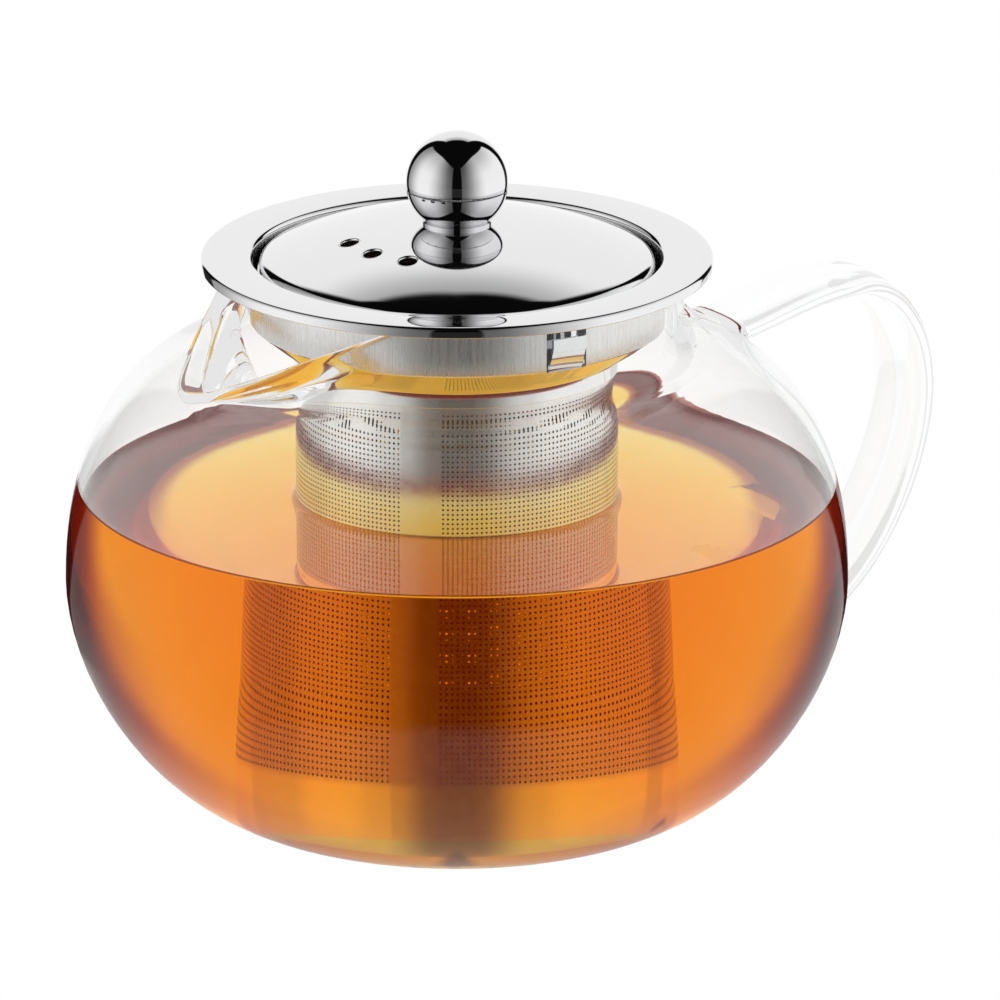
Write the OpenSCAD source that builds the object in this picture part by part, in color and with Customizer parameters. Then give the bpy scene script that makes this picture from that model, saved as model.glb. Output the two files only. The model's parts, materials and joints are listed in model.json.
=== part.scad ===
// Glass teapot with a steel infuser that hangs in its neck and a lid that drops into the infuser.
// The base stands on z = 0, the spout points along -X and the handle along +X.
// All sizes are in millimetres.

/* [Glass body] */
// Widest radius of the body
body_r = 78; // [70:0.5:90]
// Height of the widest point
widest_z = 48.2; // [42:0.2:56]
// Radius of the flat base
foot_r = 36; // [30:0.5:44]
// Outer radius of the neck
neck_r = 45.1; // [44.8:0.1:48]
// Height at which the shoulder meets the neck
shoulder_z = 96.5; // [92:0.5:100]
// Thickness of the blown wall
glass_t = 2.2; // [1.8:0.1:2.4]
// Thickness of the base
base_t = 3.4; // [2.5:0.1:5]
// Fullness of the bowl: 2 is an ellipse, more is squarer
bowl_power = 1.77; // [1.6:0.01:2.2]
// Fullness of the shoulder
shoulder_power = 2.21; // [1.9:0.01:2.6]

/* [Spout] */
// Distance of the pouring tip from the axis
tip_r = 63.2; // [58:0.2:68]
// Height of the pouring tip
tip_z = 95.4; // [94.4:0.2:101]
// Angle over which the tip is rounded
tip_round = 6; // [4:0.5:9]
// How far the fold under the lip lies from the neck
fold_depth = 12; // [9:0.5:13]

/* [Handle] */
// Width of the strap
strap_w = 19.6; // [16:0.2:24]
// Thickness of the strap
strap_t = 4.8; // [4:0.1:6]
// Distance of the strap's middle from the axis, at its widest
strap_reach = 105.1; // [98:0.1:110]
// Height of the strap's middle at its top
strap_top_z = 96.7; // [95:0.1:102]
// Height of the widest point of the handle
strap_wide_z = 74; // [68:0.5:80]
// Height at which the handle ends on the bowl
strap_end_z = 25; // [22:0.5:30]

/* [Infuser] */
// How far the flange reaches past the neck
flange_lap = 5.8; // [4:0.1:9]
// Height of the flange's turned edge
flange_edge = 2.2; // [1.5:0.1:3]
// Gap between the collar and the glass
collar_gap = 1.6; // [1.3:0.1:1.9]
// Length of the straight collar
collar_h = 12.2; // [11:0.1:13]
// Height of the cone between the collar and the tube
cone_h = 7.1; // [6:0.1:8.5]
// Thickness of the drawn sheet
sheet_t = 0.6; // [0.5:0.05:0.8]
// Outer radius of the filter tube
tube_r = 31.8; // [29:0.1:33]
// Length of the ring that holds the tube
ring_h = 4.4; // [3.5:0.1:6]
// Wall of the filter tube
tube_t = 0.5; // [0.4:0.05:0.6]
// Height of the filter's underside
filter_z = 8.5; // [6:0.5:14]
// Height of the cap that closes the filter
cap_h = 6; // [4:0.5:8]

/* [Filter holes] */
// Columns of holes round the tube
hole_cols = 36; // [24:1:48]
// Rows of holes up the tube
hole_rows = 10; // [6:1:16]
// Diameter of a hole
hole_d = 1.7; // [1:0.1:2]
// Width of the blank strip along the seam
seam_w = 8; // [6:0.5:12]
// Where the seam lies round the tube
seam_angle = 226; // [0:1:359]

/* [Spring tongues] */
// Width of a tongue
tongue_w = 7.4; // [6:0.2:10]
// Width of the slit at each side of a tongue
slit = 0.75; // [0.5:0.05:1]
// Where the first tongue lies round the collar
tongue_angle = 30; // [15:1:45]

/* [Lid] */
// Height of the dome above the flange
dome_h = 6.6; // [4:0.2:8]
// Gap between the lid and the collar
lid_gap = 1; // [0.6:0.1:1.4]
// Radius of the rounded edge
lid_round = 3; // [2:0.1:4]
// Diameter of a steam vent
vent_d = 3.6; // [2:0.1:4]
// Distance of the vents from the axis
vent_r = 22.8; // [16:0.2:26]
// Angle between two vents
vent_step = 22; // [18:0.5:32]
// Where the middle vent lies round the lid, which can be turned as it sits
lid_turn = 191.8; // [0:0.2:359.8]

/* [Knob] */
// Outer radius of the ball
ball_r = 10.2; // [9:0.1:12]
// Radius of the flat where the ball stands
ball_foot_r = 6.5; // [5.5:0.1:7.2]
// Radius of the neck ring
neck_ring_r = 6.9; // [6:0.1:7.4]
// Thickness of the neck ring
neck_ring_h = 0.5; // [0.4:0.1:2]
// Radius of the screw's thread
screw_r = 2; // [1.5:0.1:2.5]
// Radius of the screw's head
head_r = 3.9; // [3.4:0.1:4.6]

/* [Hidden] */
$fn = 96;

// Clearances: a seat that carries its part, a welded lap, and a screw in its thread
seat_gap = 0.3;
weld_gap = 0.03;
thread_gap = 0.03;

glass = [0.88, 0.95, 0.95, 0.4];
polished = [0.86, 0.87, 0.88];
brushed = [0.72, 0.73, 0.74];

// ---- Sizes that follow from the ones above ----
flange_r = neck_r + flange_lap;
collar_r = neck_r - glass_t - collar_gap;
rim_h = 18;
rim_z = shoulder_z + rim_h;
flange_z = rim_z + seat_gap + sheet_t;
collar_end_z = flange_z - sheet_t - collar_h;
ring_r = tube_r + weld_gap + sheet_t;
ring_z = collar_end_z - cone_h;
collar_in_r = collar_r - sheet_t;
// The cone rises by this much for each millimetre outwards
cone_rise = cone_h / (collar_r - ring_r);
// Where the sheet turns into the cone, its inner corner lies higher than its outer one by this much
bend = sheet_t * tan((90 - atan(cone_rise)) / 2);

function unit(v) = v / norm(v);
function mix(a, b, k) = a * (1 - k) + b * k;

// ---- Glass body: one skin of rings that runs up the outside, over the rim and down the inside ----
segments = 64;
bowl_rings = 9;
shoulder_rings = 9;
neck_rings = 4;
// The segments crowd together towards the spout, by this many degrees
crowding = 25;
// The shoulder stops short of the neck, and the neck starts above it: the fillet between them
shoulder_end = 79.6;
fillet_h = 7;
fillet_rings = 3;
// Under the lip the neck's foot lies this far out on the fold, and this much lower inside
fold_lap = 0.8;
foot_drop = 1;
// The rim's middle lies half a wall inside the neck and below the rim's top
rim_mid_r = neck_r - glass_t / 2;
rim_mid_z = rim_z - glass_t / 2;
// Seen from above, the lip runs along the two tangents from the tip to the neck
lip_angle = acos(rim_mid_r / (tip_r - glass_t / 2));
lip_half = lip_angle + tip_round;

function azimuth(k) = let (u = 360 * k / segments - 180) u - crowding * sin(u);
// Angle left to the end of the lip, with the tip rounded
function lip_left(a) = max(0, lip_half - norm([a, tip_round]));
// 0 round the plain neck, 1 at the tip
function lip(a) = tan(lip_left(a)) / tan(lip_angle);
// The rim falls towards the tip with this power of the lip
lip_fall = 1.05;

function bowl(t, off, floor_z) =
    [foot_r + (body_r - off - foot_r) * pow(sin(t), 2 / bowl_power),
     widest_z - (widest_z - floor_z) * pow(cos(t), 2 / bowl_power)];
function shoulder(t, off) =
    [neck_r - off + (body_r - neck_r) * pow(cos(t), 2 / shoulder_power),
     widest_z + (shoulder_z - off - widest_z) * pow(sin(t), 2 / shoulder_power)];
// The shoulder's last angle, so that it ends at a given distance from the neck
function shoulder_stop(from_neck) = acos(pow(from_neck / (body_r - neck_r), shoulder_power / 2));

function rim_mid(a) =
    [rim_mid_r / cos(lip_left(a)), rim_mid_z - (rim_mid_z - tip_z) * pow(lip(a), lip_fall)];
function outer_stop(a) =
    shoulder_stop(mix(shoulder(shoulder_end, 0)[0] - neck_r, fold_depth, pow(lip(a), 2)));
function outer_foot(a) =
    mix([neck_r, shoulder_z + fillet_h],
        shoulder(shoulder_stop(fold_depth + fold_lap), 0) + [0, fold_lap], pow(lip(a), 2));
function inner_foot(a) =
    [neck_r - glass_t, mix(shoulder_z + fillet_h, shoulder_z - glass_t - foot_drop, pow(lip(a), 2))];
// Points of the curve that leaves one end towards a corner and reaches the other end
function curve(start, corner, end) =
    [for (i = [1 : fillet_rings])
        let (k = i / (fillet_rings + 1))
        mix(mix(start, corner, k), mix(corner, end, k), k)];
// The fillet's corner lies where the shoulder, carried on, meets the neck
fillet_rise = 0.23;
function neck_corner(a, off) =
    let (end = shoulder(shoulder_end, off))
        mix([neck_r - off, end[1] + (end[0] - neck_r + off) * fillet_rise],
            shoulder(outer_stop(a), off), pow(lip(a), 2));

// The profile at one azimuth, as [distance, height] pairs from the outer foot to the inner foot
function profile(a) =
    let (top = rim_mid(a),
         along = unit(top - mix(outer_foot(a), inner_foot(a), 0.5)),
         across = [along[1], -along[0]],
         out_top = top + across * glass_t / 2,
         in_top = top - across * glass_t / 2,
         stop = outer_stop(a))
    concat(
        [for (i = [0 : bowl_rings - 1]) bowl(90 * i / bowl_rings, 0, 0)],
        [for (i = [0 : shoulder_rings]) shoulder(stop * i / shoulder_rings, 0)],
        curve(shoulder(stop, 0), neck_corner(a, 0), outer_foot(a)),
        [for (i = [0 : neck_rings]) mix(outer_foot(a), out_top, i / neck_rings)],
        [for (b = [45, 90, 135]) top + (across * cos(b) + along * sin(b)) * glass_t / 2],
        [for (i = [0 : neck_rings]) mix(in_top, inner_foot(a), i / neck_rings)],
        curve(inner_foot(a),
              mix(neck_corner(180, glass_t), inner_foot(a) - [0, foot_drop], pow(lip(a), 2)),
              shoulder(shoulder_end, glass_t)),
        [for (i = [shoulder_rings : -1 : 0])
            shoulder(shoulder_end * i / shoulder_rings, glass_t)],
        [for (i = [bowl_rings - 1 : -1 : 0]) bowl(90 * i / bowl_rings, glass_t, base_t)]);

module pot_body() {
    profiles = [for (k = [0 : segments - 1]) profile(azimuth(k))];
    rings = len(profiles[0]);
    points = concat(
        [for (k = [0 : segments - 1], p = profiles[k])
            [-p[0] * cos(azimuth(k)), -p[0] * sin(azimuth(k)), p[1]]],
        [[0, 0, 0], [0, 0, base_t]]);
    under = segments * rings;
    over = under + 1;
    // The quad between ring i and the next, at segment k, as two triangles
    function quad(k, i) = let (a = k * rings + i, b = ((k + 1) % segments) * rings + i)
        [[a, a + 1, b], [b, a + 1, b + 1]];
    faces = concat(
        [for (k = [0 : segments - 1], i = [0 : rings - 2], f = quad(k, i)) f],
        [for (k = [0 : segments - 1]) [under, k * rings, ((k + 1) % segments) * rings]],
        [for (k = [0 : segments - 1])
            [over, ((k + 1) % segments) * rings + rings - 1, k * rings + rings - 1]]);
    color(glass) polyhedron(points, faces, convexity = 8);
}

// ---- Handle: a flat strap, drawn along three curves and fused to the neck and the bowl ----
strap_sides = 16;
curve_steps = 11;
// The strap starts in the neck's wall, lies on the shoulder and ends in the bowl's wall
neck_joint = [neck_r - 0.8, shoulder_z + 7.5];
saddle = [neck_r + 17.4, shoulder_z - 5];
crown = [strap_reach - 16, strap_top_z];
elbow = [strap_reach, strap_wide_z];
bowl_at_end = acos(pow((widest_z - strap_end_z) / widest_z, bowl_power / 2));
bowl_joint = [bowl(bowl_at_end, 0, 0)[0] - 1.3, strap_end_z];

// Four control points a curve, in the plane of the handle
strap_curves = [
    [neck_joint, neck_joint + [5, -9], saddle + [-7, -1.6], saddle],
    [saddle, saddle + [8.5, 2], crown + [-10, 0], crown],
    [crown, crown + [9.5, 0], elbow + [0, 12], elbow],
    [elbow, elbow - [0, 18], bowl_joint + [22, 5], bowl_joint]];

function bezier(c, t) =
    c[0] * pow(1 - t, 3) + c[1] * 3 * t * pow(1 - t, 2) + c[2] * 3 * t * t * (1 - t) + c[3] * pow(t, 3);
function slope(c, t) =
    (c[1] - c[0]) * pow(1 - t, 2) + (c[2] - c[1]) * 2 * t * (1 - t) + (c[3] - c[2]) * t * t;

// Width and thickness along the strap: slim in the neck, a thick pad on the shoulder, then even
function strap_size(c, t) =
    c == 0 ? [mix(0.66, 1, sin(90 * t)) * strap_w, mix(2.2, strap_t * 1.25, sin(180 * t) / 2 + t / 2)] :
    c == 1 ? [strap_w, mix(0.94, 1, t) * strap_t] :
    c == 3 ? [mix(1, 1.08, t * t) * strap_w, mix(strap_t, 3.4, t * t * t)] : [strap_w, strap_t];

module pot_handle() {
    stations = [for (c = [0 : 3], i = [(c == 0 ? 0 : 1) : curve_steps]) [c, i / curve_steps]];
    last = len(stations) - 1;
    points = [for (s = stations)
        let (mid = bezier(strap_curves[s[0]], s[1]),
             along = unit(slope(strap_curves[s[0]], s[1])),
             size = strap_size(s[0], s[1]))
        for (j = [0 : strap_sides - 1])
            let (b = 360 * j / strap_sides,
                 side = sign(cos(b)) * pow(abs(cos(b)), 0.75) * size[0] / 2,
                 up = sign(sin(b)) * pow(abs(sin(b)), 0.75) * size[1] / 2)
            [mid[0] - along[1] * up, side, mid[1] + along[0] * up]];
    function quad(s, j) = let (a = s * strap_sides, n = (j + 1) % strap_sides)
        [[a + j, a + n, a + strap_sides + j], [a + n, a + strap_sides + n, a + strap_sides + j]];
    faces = concat(
        [for (s = [0 : last - 1], j = [0 : strap_sides - 1], f = quad(s, j)) f],
        [[for (j = [strap_sides - 1 : -1 : 0]) j]],
        [[for (j = [0 : strap_sides - 1]) last * strap_sides + j]]);
    color(glass) polyhedron(points, faces, convexity = 6);
}

// ---- Infuser ----
// A tongue leaves the cone just outside the lid's skirt, leans out and stops short of the glass
tongue_gap = 0.4;
tongue_root = [collar_in_r - lid_gap + seat_gap, collar_end_z + bend - (lid_gap - seat_gap) * cone_rise];
tongue_tip = [neck_r - glass_t - tongue_gap - sheet_t, collar_end_z + 4.9];
tongue_end_h = 1.8;
// Its foot lies within the cone's sheet, below the cut
tongue_foot = [-0.12, -0.38];
tongue_cut_z = tongue_root[1] - 0.08;

// A ring of sheet metal: the flange with its turned edge, the collar, the cone and the tube's ring
module drawn_funnel() {
    rotate_extrude()
        polygon([
            [collar_in_r, flange_z], [flange_r - 0.4, flange_z], [flange_r, flange_z - 0.4],
            [flange_r, flange_z - flange_edge], [flange_r - sheet_t, flange_z - flange_edge],
            [flange_r - sheet_t, flange_z - sheet_t], [collar_r, flange_z - sheet_t],
            [collar_r, collar_end_z], [ring_r, ring_z], [ring_r, ring_z - ring_h],
            [ring_r - sheet_t, ring_z - ring_h], [ring_r - sheet_t, ring_z + bend],
            [collar_in_r, collar_end_z + bend]]);
}

module tongue() {
    rotate([90, 0, 0])
        linear_extrude(tongue_w, center = true)
            polygon([
                tongue_root + tongue_foot, tongue_root + tongue_foot + [sheet_t, 0],
                tongue_tip + [sheet_t, 0], tongue_tip + [sheet_t, tongue_end_h],
                tongue_tip + [0, tongue_end_h], tongue_tip]);
}

module at_each_tongue() {
    for (i = [0 : 2]) rotate([0, 0, tongue_angle + 120 * i]) children();
}

module infuser_collar() {
    window_w = tongue_w + 2 * slit;
    window_h = flange_z - sheet_t - 1.2 - tongue_cut_z;
    color(polished) union() {
        difference() {
            drawn_funnel();
            at_each_tongue()
                translate([ring_r + 1, -window_w / 2, tongue_cut_z])
                    cube([neck_r - ring_r, window_w, window_h]);
        }
        at_each_tongue() tongue();
    }
}

// The tube ends in the ring above and in the cap below
tube_top_z = ring_z - 0.6;
tube_bottom_z = filter_z + sheet_t + weld_gap;
holes_low = filter_z + cap_h + 2.4;
holes_high = ring_z - ring_h - 2.4;

module filter_sheet() {
    // The columns fill the tube apart from the seam
    seam_half = asin(seam_w / 2 / tube_r);
    col_step = (360 - 2 * seam_half) / hole_cols;
    row_step = (holes_high - holes_low) / (hole_rows - 1);
    color(brushed) difference() {
        translate([0, 0, tube_bottom_z]) cylinder(r = tube_r, h = tube_top_z - tube_bottom_z);
        translate([0, 0, tube_bottom_z - 1])
            cylinder(r = tube_r - tube_t, h = tube_top_z - tube_bottom_z + 2);
        for (i = [0 : hole_cols - 1], j = [0 : hole_rows - 1])
            rotate([0, 0, seam_angle + seam_half + (i + 0.5) * col_step])
                translate([tube_r - 2 * tube_t, 0, holes_low + j * row_step])
                    rotate([0, 90, 0]) cylinder(d = hole_d, h = 3 * tube_t, $fn = 6);
    }
}

// A shallow pressed cup, lapped over the end of the tube, with rings of holes in its floor
module filter_base() {
    floor_hole_d = 1.06 * hole_d;
    floor_rings = 5;
    ring_step = tube_r / (floor_rings + 1.4);
    color(polished) difference() {
        translate([0, 0, filter_z]) cylinder(r = ring_r, h = cap_h);
        translate([0, 0, filter_z + sheet_t]) cylinder(r = tube_r + weld_gap, h = cap_h);
        for (k = [1 : floor_rings], i = [0 : 6 * k - 1])
            rotate([0, 0, 60 * i / k])
                translate([k * ring_step, 0, filter_z - sheet_t])
                    cylinder(d = floor_hole_d, h = 3 * sheet_t, $fn = 24);
    }
}

// ---- Lid ----
lid_r = collar_in_r - lid_gap;
lid_top_z = flange_z + dome_h;
// The knob stands on a flat at the top of the dome
flat_r = neck_ring_r + 1;
// The rounded edge turns about this distance and height, and meets the dome where it leans this far
edge_mid_r = lid_r - lid_round;
edge_mid_z = flange_z - 2.9;
edge_lean = 65;
edge_r = edge_mid_r + lid_round * cos(edge_lean);
edge_z = edge_mid_z + lid_round * sin(edge_lean);
// The skirt stands on the cone, where the cone is as wide as the lid
skirt_z = collar_end_z + bend - lid_gap * cone_rise + seat_gap;
dome_drop = lid_top_z - edge_z;
dome_run = edge_r - flat_r;

// The dome falls from the flat to the edge, more steeply the further out
function dome(k) = [flat_r + dome_run * k, lid_top_z - dome_drop * (0.1 * k + 0.9 * k * k)];

module lid_shape(off) {
    polygon(concat(
        [[0, lid_top_z - off]],
        [for (k = [0 : 0.125 : 1]) dome(k) - [0, off]],
        [for (b = [52 : -13 : 0])
            [edge_mid_r, edge_mid_z] + (lid_round - off) * [cos(b), sin(b)]],
        [[lid_r - off, skirt_z - off * 4], [0, skirt_z - off * 4]]));
}

module lid_cover() {
    color(polished) difference() {
        rotate_extrude() lid_shape(0);
        rotate_extrude() lid_shape(sheet_t);
        translate([0, 0, lid_top_z - 2]) cylinder(r = screw_r + 0.2, h = 4);
        for (i = [-1 : 1])
            rotate([0, 0, lid_turn + vent_step * i])
                translate([vent_r, 0, edge_z - 4]) cylinder(d = vent_d, h = dome_drop + 6);
    }
}

// ---- Knob: a hollow ball of two pressed shells, screwed down from below ----
ball_foot_z = lid_top_z + neck_ring_h;
ball_z = ball_foot_z + sqrt(ball_r * ball_r - ball_foot_r * ball_foot_r);
seam_z = ball_z - 1.3;
boss_r = 4;
boss_top_z = ball_z + 1;
washer_t = 0.8;
head_h = 2.4;
washer_top_z = lid_top_z - sheet_t;
washer_z = washer_top_z - washer_t;
screw_end_z = boss_top_z - 2;

module ball(r) { translate([0, 0, ball_z]) sphere(r); }
module slab(low_z, high_z) {
    translate([-ball_r - 1, -ball_r - 1, low_z]) cube([2 * ball_r + 2, 2 * ball_r + 2, high_z - low_z]);
}

module knob_neck_ring() {
    color(polished) difference() {
        translate([0, 0, lid_top_z]) cylinder(r = neck_ring_r, h = neck_ring_h);
        translate([0, 0, lid_top_z - 1]) cylinder(r = screw_r + 0.2, h = neck_ring_h + 2);
    }
}

module knob_lower_shell() {
    color(polished) difference() {
        intersection() { ball(ball_r); slab(ball_foot_z, seam_z); }
        intersection() { ball(ball_r - sheet_t); slab(ball_foot_z + sheet_t, seam_z + 1); }
        translate([0, 0, ball_foot_z - 1]) cylinder(r = screw_r + 0.2, h = 4);
    }
}

module knob_upper_shell() {
    color(polished) difference() {
        intersection() { ball(ball_r); slab(seam_z, ball_z + ball_r + 1); }
        ball(ball_r - sheet_t);
    }
}

module knob_boss() {
    color(brushed) difference() {
        translate([0, 0, ball_foot_z + sheet_t]) cylinder(r = boss_r, h = boss_top_z - ball_foot_z - sheet_t);
        translate([0, 0, ball_foot_z]) cylinder(r = screw_r + thread_gap, h = screw_end_z + 0.5 - ball_foot_z);
    }
}

module knob_washer() {
    color(brushed) difference() {
        translate([0, 0, washer_z]) cylinder(r = head_r + 1, h = washer_t);
        translate([0, 0, washer_z - 1]) cylinder(r = screw_r + 0.2, h = washer_t + 2);
    }
}

module knob_screw() {
    slot_w = 1.1;
    slot_depth = 1.3;
    color(brushed) difference() {
        union() {
            translate([0, 0, washer_z - head_h]) cylinder(r = head_r, h = head_h);
            translate([0, 0, washer_z - head_h / 2]) cylinder(r = screw_r, h = screw_end_z - washer_z + head_h / 2);
        }
        for (turn = [0, 90])
            rotate([0, 0, turn])
                translate([-head_r * 0.6, -slot_w / 2, washer_z - head_h - 1])
                    cube([head_r * 1.2, slot_w, slot_depth + 1]);
    }
}

pot_body();
pot_handle();
infuser_collar();
filter_sheet();
filter_base();
lid_cover();
knob_neck_ring();
knob_lower_shell();
knob_upper_shell();
knob_boss();
knob_screw();
knob_washer();
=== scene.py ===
import json
import math

import bpy
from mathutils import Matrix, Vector

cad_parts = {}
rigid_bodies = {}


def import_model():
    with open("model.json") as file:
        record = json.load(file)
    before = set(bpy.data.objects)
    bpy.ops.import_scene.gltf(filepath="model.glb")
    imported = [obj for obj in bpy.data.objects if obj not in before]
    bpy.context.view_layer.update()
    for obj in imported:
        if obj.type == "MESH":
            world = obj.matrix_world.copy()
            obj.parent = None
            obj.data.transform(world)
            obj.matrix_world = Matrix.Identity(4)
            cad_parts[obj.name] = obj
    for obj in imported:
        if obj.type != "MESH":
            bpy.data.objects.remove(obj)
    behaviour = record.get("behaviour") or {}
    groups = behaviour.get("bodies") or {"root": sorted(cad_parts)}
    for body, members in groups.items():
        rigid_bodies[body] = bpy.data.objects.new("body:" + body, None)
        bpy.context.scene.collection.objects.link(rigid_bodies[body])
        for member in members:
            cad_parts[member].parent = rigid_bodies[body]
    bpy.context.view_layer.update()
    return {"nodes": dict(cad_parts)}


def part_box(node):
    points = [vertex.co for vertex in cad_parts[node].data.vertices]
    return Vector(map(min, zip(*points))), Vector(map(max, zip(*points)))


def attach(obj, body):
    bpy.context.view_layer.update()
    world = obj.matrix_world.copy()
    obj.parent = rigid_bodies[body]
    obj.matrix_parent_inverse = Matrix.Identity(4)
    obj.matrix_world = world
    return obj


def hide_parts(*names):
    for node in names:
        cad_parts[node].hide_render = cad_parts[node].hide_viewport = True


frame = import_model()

mm = 0.001


# ---- Studio: camera, floor and surround ----
# A long lens looks down on the pot from the front left. What stands straight behind the pot is
# white. Steel and glass reflect two tall light panels at the sides, a white wall behind, and the
# dark gaps between them.
view_angle = math.radians(-31)
view_tilt = math.radians(17.5)
view_distance = 4.0
aim = Vector((0, 0, 60 * mm))
back = Vector((math.sin(view_angle) * math.cos(view_tilt),
               -math.cos(view_angle) * math.cos(view_tilt),
               math.sin(view_tilt)))
to_camera = Vector((math.sin(view_angle), -math.cos(view_angle), 0))
to_right = Vector((math.cos(view_angle), math.sin(view_angle), 0))

bpy.ops.object.select_all(action="DESELECT")
bpy.ops.object.camera_add(location=aim + back * view_distance)
camera = bpy.context.object
camera.rotation_mode = "QUATERNION"
camera.rotation_quaternion = (-back).to_track_quat("-Z", "Y")
camera.data.sensor_width = 36
camera.data.lens = 722.9
camera.data.shift_x = 0.043
camera.data.shift_y = 0.0202
camera.data.clip_start = 0.1
camera.data.clip_end = 50
bpy.context.scene.camera = camera
bpy.context.scene.view_settings.view_transform = "Standard"


def node(tree, kind, **sockets):
    """Adds a shader node; sockets are named with _ for a space, and take a value or an output."""
    made = tree.nodes.new(kind)
    for name, value in sockets.items():
        if name.startswith("set_"):
            setattr(made, name[4:], value)
    for name, value in sockets.items():
        if name.startswith("set_"):
            continue
        socket = made.inputs[int(name[1:])] if name[1:].isdigit() else made.inputs[name.replace("_", " ")]
        if isinstance(value, bpy.types.NodeSocket):
            tree.links.new(value, socket)
        else:
            socket.default_value = value
    return made


def ramp_between(tree, value, low, high, at_low=0.0, at_high=1.0):
    """A smooth step from at_low to at_high while value goes from low to high."""
    step = node(tree, "ShaderNodeMapRange", set_interpolation_type="SMOOTHSTEP", Value=value,
                From_Min=low, From_Max=high, To_Min=at_low, To_Max=at_high)
    return step.outputs["Result"]


def math_node(tree, operation, a, b=0.0, **more):
    return node(tree, "ShaderNodeMath", set_operation=operation, i0=a, i1=b, **more).outputs[0]


def value_between(tree, factor, a, b):
    """The number a where factor is 0, and b where it is 1."""
    return node(tree, "ShaderNodeMix", set_data_type="FLOAT", Factor=factor, A=a, B=b).outputs["Result"]


def colour_between(tree, factor, a, b):
    """The colour a where factor is 0, and b where it is 1."""
    return node(tree, "ShaderNodeMix", set_data_type="RGBA", Factor=factor, i6=a, i7=b).outputs[2]


def along_axis(tree, place, axis):
    """How far a place or direction lies along an axis."""
    return node(tree, "ShaderNodeVectorMath", set_operation="DOT_PRODUCT", i0=place, i1=axis).outputs["Value"]


def empty_material(name):
    """A material without nodes, as (material, node tree)."""
    material = bpy.data.materials.new(name)
    material.use_nodes = True
    material.node_tree.nodes.clear()
    return material, material.node_tree


def seen_straight(tree):
    """1 for what the camera sees with nothing or only clear glass in between, 0 for reflections."""
    path = node(tree, "ShaderNodeLightPath")
    plain = math_node(tree, "LESS_THAN", path.outputs["Glossy Depth"], 0.5)
    through = math_node(tree, "MULTIPLY", path.outputs["Is Transmission Ray"], plain)
    return math_node(tree, "MAXIMUM", path.outputs["Is Camera Ray"], through)


def azimuth_of(tree, side, forward):
    """Degrees from the camera's side of the pot: 0 in front, 180 behind, the same left and right."""
    turn = math_node(tree, "ARCTAN2", math_node(tree, "ABSOLUTE", side), forward)
    return math_node(tree, "DEGREES", turn)


# Degrees from the camera's side at which the panels begin and end and the wall behind begins
panel_start = 12.0
panel_end = 138.0
wall_start = 152.0


def wall_light(tree, azimuth):
    return ramp_between(tree, azimuth, wall_start, wall_start + 4.0)


def panel_light(tree, azimuth, side):
    """Brightness round the pot: dark in front, brightest at the sides, and dimmer behind on the left."""
    edges = math_node(tree, "MULTIPLY", ramp_between(tree, azimuth, panel_start - 2.0, panel_start + 0.5),
                      ramp_between(tree, azimuth, panel_end, panel_end - 2.5))
    light = ramp_between(tree, azimuth, panel_start, 74.0, 0.12, 1.05)
    on_left = ramp_between(tree, side, 0.02, -0.02)
    fall = math_node(tree, "MULTIPLY", ramp_between(tree, azimuth, 90.0, 136.0, 0.0, 0.65), on_left)
    light = math_node(tree, "MULTIPLY", light, math_node(tree, "SUBTRACT", 1.0, fall))
    return math_node(tree, "MULTIPLY", light, edges)


def stray_light(tree, azimuth):
    """Light that fills the gaps for what is seen through glass, least for steel that stands in the pot."""
    crossed = node(tree, "ShaderNodeLightPath").outputs["Transmission Depth"]
    inside = math_node(tree, "GREATER_THAN", crossed, 0.5)
    deep = math_node(tree, "GREATER_THAN", crossed, 3.5)
    stray = value_between(tree, deep, ramp_between(tree, azimuth, panel_start, 50.0, 0.5, 0.85),
                          ramp_between(tree, azimuth, panel_start, 50.0, 0.1, 0.8))
    return math_node(tree, "MULTIPLY", inside, stray)


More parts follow.
